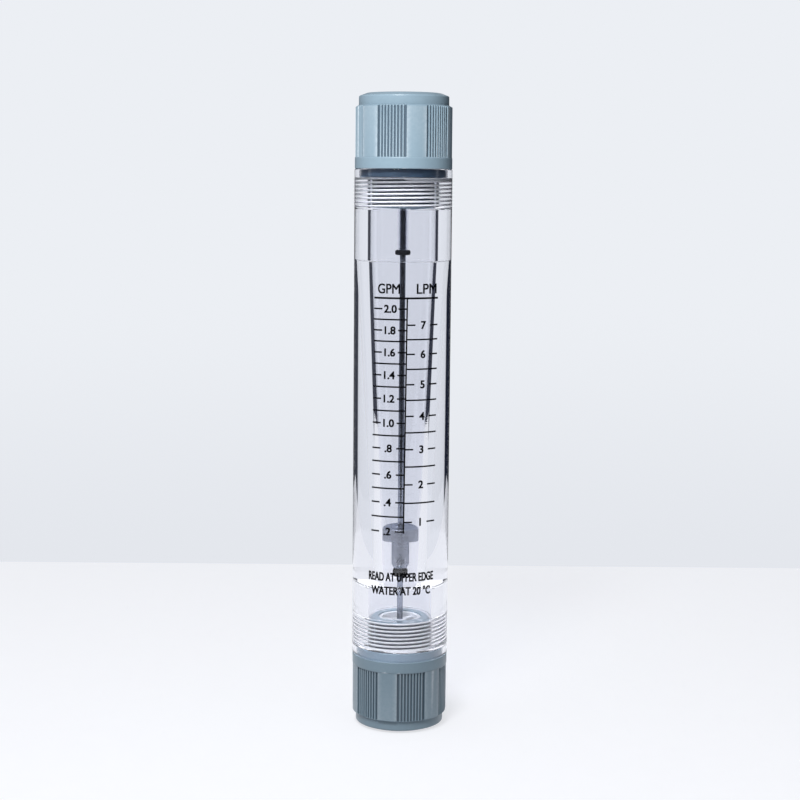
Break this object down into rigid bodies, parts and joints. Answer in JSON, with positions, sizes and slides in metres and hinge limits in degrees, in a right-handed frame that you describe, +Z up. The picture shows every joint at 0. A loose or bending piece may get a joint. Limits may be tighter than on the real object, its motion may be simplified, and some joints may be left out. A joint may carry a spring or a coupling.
{
  "type": "flow meter",
  "caption": "Variable-area flow meter: a clear tapered tube with a float on a guide rod, a printed scale and a screwed ribbed pipe fitting at each end.",
  "frame": {"origin": "middle of the base, where the lower fitting's end stands", "axes": "+Z up along the tube, in the direction of flow; the printed scale faces -Y"},
  "size_m": [0.038, 0.0382, 0.2498],
  "materials": {
    "clear_acrylic": "clear polished acrylic",
    "scale_ink": "black print",
    "rod_steel": "drawn steel",
    "float_metal": "turned, matte",
    "black_rubber": "matte rubber",
    "clear_sleeve": "clear extruded plastic",
    "white_holder": "moulded, satin",
    "grey_abs": "moulded ABS, satin"
  },
  "bodies": {
    "meter_body": {"metering_tube": "clear_acrylic", "scale_graduations": "scale_ink", "guide_rod": "rod_steel", "lower_stop_ring": "black_rubber", "upper_stop_ring": "black_rubber", "rod_sleeve": "clear_sleeve"},
    "float_body": {"float": "float_metal"},
    "upper_seal": {"upper_o_ring": "black_rubber"},
    "upper_connector": {"upper_fitting": "grey_abs", "upper_holder": "white_holder"},
    "lower_seal": {"lower_o_ring": "black_rubber"},
    "lower_connector": {"lower_fitting": "grey_abs", "lower_holder": "white_holder"}
  },
  "joints": [
    {"name": "float_slide", "type": "slide", "parent": "meter_body", "child": "float_body", "axis": [0, 0, 1], "range_m": [0, 0.10735]},
    {"name": "upper_thread_slide", "type": "slide", "parent": "meter_body", "child": "upper_seal", "axis": [0, 0, 1], "range_m": [0, 0.012]},
    {"name": "upper_thread_turn", "type": "hinge", "parent": "upper_seal", "child": "upper_connector", "pos_m": [0, 0, 0.2198], "axis": [0, 0, 1], "range_deg": [0, 2880]},
    {"name": "lower_thread_slide", "type": "slide", "parent": "meter_body", "child": "lower_seal", "axis": [0, 0, -1], "range_m": [0, 0.012]},
    {"name": "lower_thread_turn", "type": "hinge", "parent": "lower_seal", "child": "lower_connector", "pos_m": [0, 0, 0.03], "axis": [0, 0, -1], "range_deg": [0, 2880]}
  ],
  "couplings": [
    {"joint": "upper_thread_slide", "follows": "upper_thread_turn", "m_per_rad": 0.00023873},
    {"joint": "lower_thread_slide", "follows": "lower_thread_turn", "m_per_rad": 0.00023873}
  ]
}
